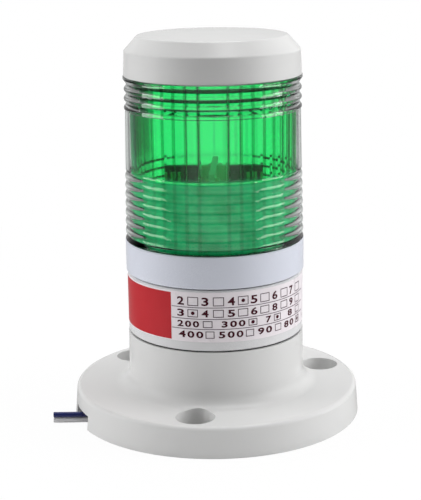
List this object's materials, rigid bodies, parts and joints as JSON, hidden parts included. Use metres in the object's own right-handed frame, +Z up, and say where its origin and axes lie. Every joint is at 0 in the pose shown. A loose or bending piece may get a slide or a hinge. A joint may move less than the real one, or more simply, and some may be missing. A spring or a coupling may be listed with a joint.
{
  "type": "stack light",
  "caption": "Single-tier signal tower on a round drilled flange, with a clear ribbed lens over a green fluted sleeve, twist-lock tiers and loose leads.",
  "frame": {"origin": "centre of the mounting flange's standing face, on the tower's axis", "axes": "+Z up along the tower, -Y towards the viewer of the type label, leads leave on the -X side"},
  "size_m": [0.0871, 0.0818, 0.1082],
  "materials": {
    "housing_plastic": "satin light grey moulding",
    "clear_plastic": "clear polished moulding",
    "green_plastic": "translucent green moulding",
    "seal_rubber": "matt black",
    "board_laminate": "green lacquered glass-fibre laminate",
    "led_package": "white package",
    "plated_metal": "nickel-plated",
    "screw_steel": "zinc-plated",
    "can_aluminium": "satin with a sleeve",
    "film_box": "yellow box",
    "black_moulding": "matt black",
    "connector_plastic": "off-white moulding",
    "label_film": "printed film",
    "white_insulation": "soft white insulation",
    "blue_insulation": "soft dark blue insulation",
    "tie_nylon": "natural nylon"
  },
  "bodies": {
    "base": {"mounting_flange": "housing_plastic", "housing_screws": "screw_steel", "lead_grommet": "seal_rubber", "body_housing": "housing_plastic", "neck_seal": "seal_rubber", "type_label": "label_film", "driver_board": "board_laminate", "filter_capacitor": "can_aluminium", "film_capacitor": "film_box", "bridge_rectifier": "black_moulding", "choke_coil": "black_moulding", "driver_chip": "black_moulding", "link_header": "black_moulding", "contact_board": "board_laminate", "contact_tracks": "plated_metal", "board_screws": "screw_steel", "strain_tie": "tie_nylon", "lead_connector": "connector_plastic", "white_lead": "white_insulation", "blue_lead": "blue_insulation"},
    "module": {"module_ring": "housing_plastic", "module_seal": "seal_rubber", "led_base_board": "board_laminate", "led_board_front": "board_laminate", "led_board_cross": "board_laminate", "leds": "led_package", "led_screws": "screw_steel", "spring_contacts": "plated_metal"},
    "lens": {"outer_lens": "clear_plastic", "colour_sleeve": "green_plastic", "lens_seal": "seal_rubber", "cap_seal": "seal_rubber"},
    "cap": {"top_cap": "housing_plastic"}
  },
  "joints": [
    {"name": "module_twist", "type": "hinge", "parent": "base", "child": "module", "pos_m": [0, 0, 0.0367], "axis": [0, 0, 1], "range_deg": [0, 20]},
    {"name": "lens_twist", "type": "hinge", "parent": "module", "child": "lens", "pos_m": [0, 0, 0.0451], "axis": [0, 0, 1], "range_deg": [0, 20]},
    {"name": "cap_twist", "type": "hinge", "parent": "lens", "child": "cap", "pos_m": [0, 0, 0.0966], "axis": [0, 0, 1], "range_deg": [0, 20]}
  ]
}
